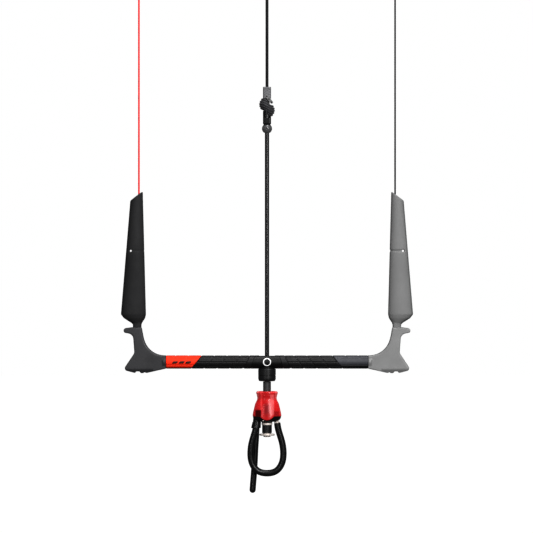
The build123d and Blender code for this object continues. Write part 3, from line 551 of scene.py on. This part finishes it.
def tread_relief(x, angle, z):
    """Surface height over the tread: long grooves, leaning slits and the smooth inner band."""
    spacing = 2 * pi / GROOVES
    offset = (angle + spacing / 2) % spacing - spacing / 2
    across = BAR_RADIUS * offset
    from_band = x + z * BAND_LEAN - BAND_EDGE
    slit = groove(to_slit(x, z), 1.3 * MM, 0.85 * MM)
    tread = min(groove(across, 1.25 * MM, 1.0 * MM), slit)
    dome = -0.45 * MM * (2 * offset / spacing) ** 2
    inside = 1.0 / (1.0 + exp(-from_band / (0.25 * MM)))
    return inside * (tread + dome) + groove(from_band, 0.9 * MM, 0.9 * MM)


def colour_relief(x, angle, z):
    """Surface height over the coloured ends: two long grooves and a notched top rib."""
    high = BAR_RADIUS * (angle - HIGH_GROOVE)
    low = BAR_RADIUS * (angle - LOW_GROOVE)
    height = groove(high, 1.15 * MM, 1.0 * MM) + groove(low, 1.0 * MM, 1.0 * MM)
    back = BAR_RADIUS * (abs(angle) - BACK_GROOVE)
    height += groove(back, 0.9 * MM, 0.7 * MM)
    if NOTCHED[0] < angle < NOTCHED[1]:
        height = min(height, groove(to_slit(x, z), 1.2 * MM, 0.7 * MM))
    return height


def grip(name, node, look, side, inner, outer, relief):
    """Rubber sleeve between two leaning joints; inner and outer are (place, lean) pairs."""
    steps = int((outer[0] - inner[0]) / (0.75 * MM))
    around = 168
    rings = []
    for i in range(-1, steps + 2):
        share = min(max(i / steps, 0.0), 1.0)
        ring = []
        for j in range(around):
            angle = 2 * pi * j / around - pi
            bare = TUBE_RADIUS if i in (-1, steps + 1) else BAR_RADIUS
            z = bare * sin(angle)
            start, end = inner[0] - z * inner[1], outer[0] - z * outer[1]
            x = start + (end - start) * share
            reach = bare
            if bare == BAR_RADIUS:
                to_end = min(x - start, end - x)
                reach += relief(x, angle, z) - 0.45 * MM * exp(-to_end / (0.5 * MM))
            ring.append((side * x, -reach * cos(angle), reach * sin(angle)))
        rings.append(ring)
    points, faces = skin(rings, closed=True)
    return new_piece(name, points, faces, look, "bar", node)


for side_name, side, colour_look in (("left", -1, "orange"), ("right", 1, "slate")):
    grip("grip_tread_" + side_name, "tread_grip_" + side_name, "tread", side,
         (HUB_EDGE + 0.1 * MM, HUB_LEAN), (COLOUR_JOINT - 0.1 * MM, JOINT_LEAN), tread_relief)
    grip("grip_colour_" + side_name, "colour_grip_" + side_name, colour_look, side,
         (COLOUR_JOINT + 0.1 * MM, JOINT_LEAN), (GRIP_END, 0.0), colour_relief)

# ---------------------------------------------------------------- bar ends, floats and lines
EYE_X = 270.2 * MM           # the float's small hole
GROOVE_Z = 220.6 * MM        # a pressed groove runs from the inner edge to the hole
GROOVE_HALF = 1.7 * MM


def horn_softness(x, z):
    """Full rounding on the body, less on the toothed foot and the thin hook."""
    foot = smooth_step(z, -19 * MM, -11 * MM)
    hook = smooth_step(x, 266 * MM, 274 * MM) * smooth_step(z, 46 * MM, 54 * MM)
    plug = 1.0 - smooth_step(x, 200 * MM, 212 * MM)
    return (0.18 + 0.82 * foot) * (1.0 - 0.6 * hook) * (1.0 - 0.8 * plug)


def press_groove(mesh, depth):
    """Sink the narrow groove that runs across the float, from its inner edge to the hole."""
    count = len(mesh.vertices)
    points, normals = np.empty(count * 3), np.empty(count * 3)
    mesh.vertices.foreach_get("co", points)
    mesh.vertex_normals.foreach_get("vector", normals)
    points, normals = points.reshape(-1, 3), normals.reshape(-1, 3)
    edge = np.clip((np.abs(points[:, 2] - GROOVE_Z) - GROOVE_HALF) / (0.7 * MM), 0.0, 1.0)
    outer = np.clip((np.abs(points[:, 0]) - EYE_X + 2.2 * MM) / (1.6 * MM), 0.0, 1.0)
    points -= normals * (depth * (1.0 - edge) * (1.0 - outer))[:, None]
    mesh.vertices.foreach_set("co", points.ravel())
    mesh.update()


NECK_BOTTOM = 66.5 * MM      # just inside the bar end
NECK_TOP = 80.0 * MM         # just inside the float
NECK_X = 257.45 * MM
NECK_SQUARENESS = 0.6
# share of the neck's height, half width and half depth in mm
NECK_SECTIONS = ((0.0, 8.0, 9.0), (0.06, 8.45, 9.8), (0.5, 8.2, 9.3), (0.94, 8.6, 9.2),
                 (1.0, 8.0, 8.6))
HORN_VOXEL, HORN_PASSES = 0.7 * MM, 50
FOAM_VOXEL, FOAM_PASSES = 1.1 * MM, 8
for side_name, side, end_look, float_look, groove_depth in (
    ("left", -1, "end_dark", "foam_black", 0.3 * MM),
    ("right", 1, "end_grey", "foam_grey", 1.1 * MM),
):
    float_body = side_name + "_float"
    softened("bar_end_" + side_name, "horn_" + side_name, HORN_VOXEL, HORN_PASSES, end_look, "bar",
             horn_softness)
    foam_piece = softened("float_" + side_name, "foam_" + side_name, FOAM_VOXEL, FOAM_PASSES,
                          float_look, float_body)
    press_groove(foam_piece.data, groove_depth)
    neck_x = side * NECK_X
    neck_rings = []
    for share, width, depth in NECK_SECTIONS:
        height = NECK_BOTTOM + share * (NECK_TOP - NECK_BOTTOM)
        ring = []
        for j in range(72):
            turn = 2 * pi * j / 72
            flat_x = squared(cos(turn), NECK_SQUARENESS)
            flat_y = squared(sin(turn), NECK_SQUARENESS)
            ring.append((neck_x + width * MM * flat_x, depth * MM * flat_y, height))
        neck_rings.append(ring)
    points, faces = skin(neck_rings)
    neck = new_piece("neck_" + side_name, points, faces, float_look, None)
    dense = neck.modifiers.new("dense", "SUBSURF")
    dense.levels = dense.render_levels = 2
    bake_modifiers(neck)
    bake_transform(neck)

for side_name, side, line_look in (("left", -1, "rope_red"), ("right", 1, "rope_black")):
    low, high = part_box("steering_line_" + side_name)
    line_x = (low.x + high.x) / 2
    line = upright_line(line_x, low.z, high.z, 1.3 * MM)
    cord("line_" + side_name, line, (high.x - low.x) / 2, line_look, side_name + "_float",
         "steering_line_" + side_name, strands=4, around=16)

# ---------------------------------------------------------------- centre line
low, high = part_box("upper_line")
cord("trim_line", upright_line(0.0, low.z, high.z, 1.1 * MM), (high.x - low.x) / 2, "rope_black",
     "trim_line", "upper_line", strands=6, around=30)

COIL_ROPE = 2.5 * MM
COIL_FALL = 5.6 * MM         # how far a turn falls from the middle to its side
COIL_TURNS = 5
COIL_STEPS = 96              # points in each turn
COIL_PITCH = 4.2 * MM
COIL_REACH = 13.2 * MM
COIL_CROWN = 4.6 * MM        # how much less the first and last turns reach
coil_low, coil_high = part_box("trim_coil")
coil_middle = (coil_low.z + coil_high.z) / 2
coil_line = []
for i in range(COIL_TURNS * COIL_STEPS + 1):
    turn = i / COIL_STEPS - COIL_TURNS / 2
    angle = 2 * pi * turn + pi / 2
    reach = COIL_REACH - COIL_CROWN * (2 * turn / COIL_TURNS) ** 2
    fall = COIL_FALL * sin(pi / 2 * cos(angle))
    height = coil_middle + turn * COIL_PITCH - fall
    coil_line.append(Vector((reach * cos(angle), reach * sin(angle), height)))
# the wound turns use the lightened copy of the black rope, a painted sheen
cord("wound_rope", coil_line, COIL_ROPE, "rope_coil_painted_sheen", "centre_line", "trim_coil", strands=6,
     around=30)

# ---------------------------------------------------------------- release sleeve and spring
SLEEVE_FLATNESS = 0.74       # depth over width
SLEEVE_WALL = 2.2 * MM
STEM_HOLE = 7.75 * MM
TONGUE_HALF = 13.7 * MM
PANEL_HALF = 12.6 * MM
PANEL_LIFT = 0.9 * MM
PANEL_EDGE = 1.3 * MM
PANEL_TOP = -61 * MM         # the panel rises from here and is full at the next height
PANEL_FULL = -67 * MM
TONGUE_TOP = -96 * MM
TONGUE_ROUNDNESS = 2.2
sleeve_low, sleeve_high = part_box("release_sleeve")
SKIRT = -107.0 * MM          # bottom edge at the sides
TONGUE_DROP = SKIRT - sleeve_low.z
# half width of the outside at shares of the height from the top lip to the skirt
SLEEVE_OUTLINE = [(0.0, 19.4), (0.03, 21.0), (0.07, 21.5), (0.14, 20.3), (0.31, 19.2), (0.50, 23.2),
                  (0.67, 25.4), (0.84, 27.3), (0.96, 28.3), (1.0, 28.2)]


def sleeve_ring(half_width, z, inset, around=200):
    """One oval ring of the sleeve, with the raised panel and the tongue at the front."""
    ring = []
    for j in range(around):
        turn = 2 * pi * j / around
        x = (half_width - inset) * cos(turn)
        y = (half_width * SLEEVE_FLATNESS - inset) * sin(turn)
        drop = 0.0
        if y < 0:
            panel = 1.0 - smooth_step(abs(x), PANEL_HALF, PANEL_HALF + PANEL_EDGE)
            y -= PANEL_LIFT * panel * smooth_step(-z, -PANEL_TOP, -PANEL_FULL)
            tongue = max(0.0, 1.0 - (abs(x) / TONGUE_HALF) ** TONGUE_ROUNDNESS)
            drop = TONGUE_DROP * tongue * smooth_step(-z, -TONGUE_TOP, -SKIRT)
        ring.append((x, y, z - drop))
    return ring


def round_ring(radius, z, around=200):
    """One round ring about the centre line."""
    turns = [2 * pi * j / around for j in range(around)]
    return [(radius * cos(turn), radius * sin(turn), z) for turn in turns]


outline = smooth_curve([Vector((width * MM, 0, sleeve_high.z + share * (SKIRT - sleeve_high.z)))
                        for share, width in SLEEVE_OUTLINE], 0.7 * MM)
inner_top = sleeve_high.z - 3.0 * MM
sleeve_rings = [round_ring(STEM_HOLE, sleeve_high.z - 0.4 * MM),
                round_ring(STEM_HOLE + 1.2 * MM, sleeve_high.z)]
sleeve_rings += [sleeve_ring(point.x, point.z, 0.0) for point in outline]
sleeve_rings.append(sleeve_ring(outline[-1].x, SKIRT - 0.4 * MM, SLEEVE_WALL / 2))
sleeve_rings += [sleeve_ring(point.x, point.z, SLEEVE_WALL)
                 for point in reversed(outline) if point.z < inner_top]
sleeve_rings.append(round_ring(STEM_HOLE, inner_top))
points, faces = skin(sleeve_rings, closed=True)
new_piece("sleeve_shell", points, faces, "red", "sleeve", "release_sleeve")


def wire(name, line, radius, look, body, node, around=16):
    """Smooth round wire along a line."""
    turns = [2 * pi * j / around for j in range(around)]
    rings = []
    for point, (tangent, side, up) in zip(line, carried_frames(line)):
        rings.append([point + radius * (cos(turn) * side + sin(turn) * up) for turn in turns])
    points, faces = skin(rings)
    return new_piece(name, points, faces, look, body, node)


SPRING_WIRE = 0.65 * MM
SPRING_PITCH = 3.6 * MM
SPRING_STEPS = 60            # points in each turn
spring_low, spring_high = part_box("return_spring")
spring_radius = (spring_high.y - spring_low.y) / 2 - SPRING_WIRE
spring_rise = spring_high.z - spring_low.z - 2 * SPRING_WIRE
spring_steps = int(spring_rise / SPRING_PITCH * SPRING_STEPS)
spring_line = []
for i in range(spring_steps + 1):
    angle = 2 * pi * i / SPRING_STEPS
    height = spring_low.z + SPRING_WIRE + spring_rise * i / spring_steps
    spring_line.append(Vector((spring_radius * cos(angle), spring_radius * sin(angle), height)))
spring = wire("spring_coil", spring_line, SPRING_WIRE, "spring", "core", "return_spring")
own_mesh(spring)

# share of the radius and of the rise, from the back of the shank to the top of the dome
DOME = ((0.9, -1.0), (1.0, 0.0), (0.94, 0.35), (0.75, 0.72), (0.4, 0.95), (0.08, 1.0))


def stud(name, place, radius, rise, look, body):
    """Small domed head facing the front, on a short shank."""
    rings = []
    for share, lift in DOME:
        ring = []
        for j in range(32):
            turn = 2 * pi * j / 32
            x, z = place[0] + share * radius * cos(turn), place[2] + share * radius * sin(turn)
            ring.append((x, place[1] - rise * lift, z))
        rings.append(ring)
    points, faces = skin(rings)
    return new_piece(name, points, faces, look, body)


stud("base_rivet", (-7.5 * MM, -15.2 * MM, -115.3 * MM), 1.7 * MM, 0.8 * MM, "steel", "core")
LINK_FRONT = -9.3 * MM
LINK_EYES = ((-0.5, 526.4), (4.0, 520.8), (9.0, 514.5))   # x and z in mm
for i, (eye_x, eye_z) in enumerate(LINK_EYES):
    stud("link_eye_%d" % (i + 1), (eye_x * MM, LINK_FRONT, eye_z * MM), 1.35 * MM, 0.25 * MM, "hub",
         "centre_line")

# ---------------------------------------------------------------- printed marks
PRINT_LIFT = 0.12 * MM
PRINT_ROOT = -0.15 * MM


def pad_print(name, loops, look, closed):
    """Thin raised print on the front of the bar; each loop is (lift, [(x, z), ...])."""
    rings = []
    for lift, loop in loops:
        reach = BAR_RADIUS + lift
        rings.append([(x, -(reach * reach - z * z) ** 0.5, z) for x, z in loop])
    points, faces = skin(rings, closed)
    return new_piece(name, points, faces, look, "bar")


def round_loop(radius):
    """Points of a circle about the bar's middle, as (x, z)."""
    return [(radius * cos(2 * pi * j / 96), radius * sin(2 * pi * j / 96)) for j in range(96)]


MARK_OUTER = 8.2 * MM
MARK_INNER = 5.9 * MM
ring_outer, ring_inner = round_loop(MARK_OUTER), round_loop(MARK_INNER)
pad_print("hub_mark", [(PRINT_ROOT, ring_inner), (PRINT_LIFT, ring_inner), (PRINT_LIFT, ring_outer),
                       (PRINT_ROOT, ring_outer)], "print_white", True)

# three plain blocks, wide enough that they never read as letters
BLOCK_COUNT = 3
BLOCK_PITCH = 13.2 * MM
BLOCK_MIDDLE = -169.0 * MM
BLOCK_HEIGHT = -0.5 * MM     # of the middle of each block
BLOCK_HALF_LENGTH = 4.9 * MM
BLOCK_HALF_HEIGHT = 2.5 * MM
BLOCK_SQUARENESS = 0.35
for i in range(BLOCK_COUNT):
    middle = BLOCK_MIDDLE + (i - (BLOCK_COUNT - 1) / 2) * BLOCK_PITCH
    loops = []
    for lift, share in ((PRINT_ROOT, 1.0), (PRINT_LIFT, 1.0), (PRINT_LIFT, 0.6), (PRINT_LIFT, 0.1)):
        loop = []
        for j in range(48):
            turn = 2 * pi * j / 48
            z = BLOCK_HALF_HEIGHT * share * squared(sin(turn), BLOCK_SQUARENESS)
            x = BLOCK_HALF_LENGTH * share * squared(cos(turn), BLOCK_SQUARENESS)
            loop.append((middle + x + z * JOINT_LEAN, z + BLOCK_HEIGHT))
        loops.append((lift, loop))
    pad_print("grip_block_%d" % (i + 1), loops, "print_dark", False)

# ---------------------------------------------------------------- studio
scene = bpy.context.scene
scene.view_settings.view_transform = "Standard"
scene.view_settings.look = "None"
scene.view_settings.gamma = 0.7   # firm contrast, so that dark edges stay dark against the ground

# a flat pale floor with no wall, so that the object can be seen from every side
FLOOR_Z = cad_box[0][2] - 0.1
FLOOR_HALF = 9.0
floor_mesh = bpy.data.meshes.new("floor")
floor_mesh.from_pydata([(-FLOOR_HALF, -FLOOR_HALF, FLOOR_Z), (FLOOR_HALF, -FLOOR_HALF, FLOOR_Z),
                        (FLOOR_HALF, FLOOR_HALF, FLOOR_Z), (-FLOOR_HALF, FLOOR_HALF, FLOOR_Z)],
                       [], [(0, 1, 2, 3)])
floor = bpy.data.objects.new("floor", floor_mesh)
scene.collection.objects.link(floor)
floor.visible_glossy = False
floor.visible_diffuse = False
floor.visible_shadow = False
paper = Nodes("paper")
paper_cloud = paper.mix(paper.noise(3.0), (0.02, 0.02, 0.02, 1), (0.03, 0.03, 0.03, 1))
paper.set(Base_Color=paper_cloud, Roughness=0.9)
paper.set(Emission_Color=(1, 1, 1, 1), Emission_Strength=1.0, Specular_IOR_Level=0.0)
floor_mesh.materials.append(paper.material)

world = bpy.data.worlds.new("studio")
scene.world = world
world.use_nodes = True
sky = world.node_tree
rays = sky.nodes.new("ShaderNodeLightPath")
# strength of the white surroundings for each kind of ray
SKY_LEVELS = {"Is Camera Ray": 1.0, "Is Diffuse Ray": 0.28, "Is Glossy Ray": 0.16}
total = None
for output, level in SKY_LEVELS.items():
    share = sky.nodes.new("ShaderNodeMath")
    share.operation = "MULTIPLY_ADD"
    sky.links.new(rays.outputs[output], share.inputs[0])
    share.inputs[1].default_value = level
    share.inputs[2].default_value = 0.0
    if total is not None:
        sky.links.new(total, share.inputs[2])
    total = share.outputs[0]
sky.nodes["Background"].inputs["Color"].default_value = (1, 1, 1, 1)
sky.links.new(total, sky.nodes["Background"].inputs["Strength"])


def softbox(name, place, aim, width, height, power, shine=True):
    """Large area light aimed at a point; one without shine leaves no highlights."""
    light = bpy.data.lights.new(name, "AREA")
    light.shape = "RECTANGLE"
    light.size, light.size_y, light.energy = width, height, power
    lamp = bpy.data.objects.new(name, light)
    lamp.location = place
    lamp.rotation_euler = (Vector(aim) - Vector(place)).to_track_quat("-Z", "Y").to_euler()
    lamp.visible_glossy = shine
    lamp.visible_camera = False
    scene.collection.objects.link(lamp)


MIDDLE = (0, 0, 0.19)
softbox("key_right", (1.1, -3.1, 1.3), MIDDLE, 0.5, 2.4, 120)
softbox("strip_left", (-1.4, -3.1, 0.5), MIDDLE, 0.15, 1.8, 22)
softbox("top", (0.3, -0.5, 2.8), MIDDLE, 1.6, 1.2, 80)
softbox("back_left", (-1.6, 2.6, 1.2), MIDDLE, 1.2, 1.6, 60, False)
softbox("back_right", (1.6, 2.6, 0.9), MIDDLE, 1.2, 1.6, 60, False)

VIEW_WIDTH = 1.057           # metres across the picture at the bar
LENS = 200.0
SENSOR = 36.0
CAMERA_X = -0.001
CAMERA_HEIGHT = 0.1894
camera_data = bpy.data.cameras.new("camera")
camera_data.lens = LENS
camera_data.sensor_width = SENSOR
camera = bpy.data.objects.new("camera", camera_data)
camera.location = (CAMERA_X, -VIEW_WIDTH * LENS / SENSOR, CAMERA_HEIGHT)
camera.rotation_euler = (radians(90), 0, 0)
scene.collection.objects.link(camera)
scene.camera = camera
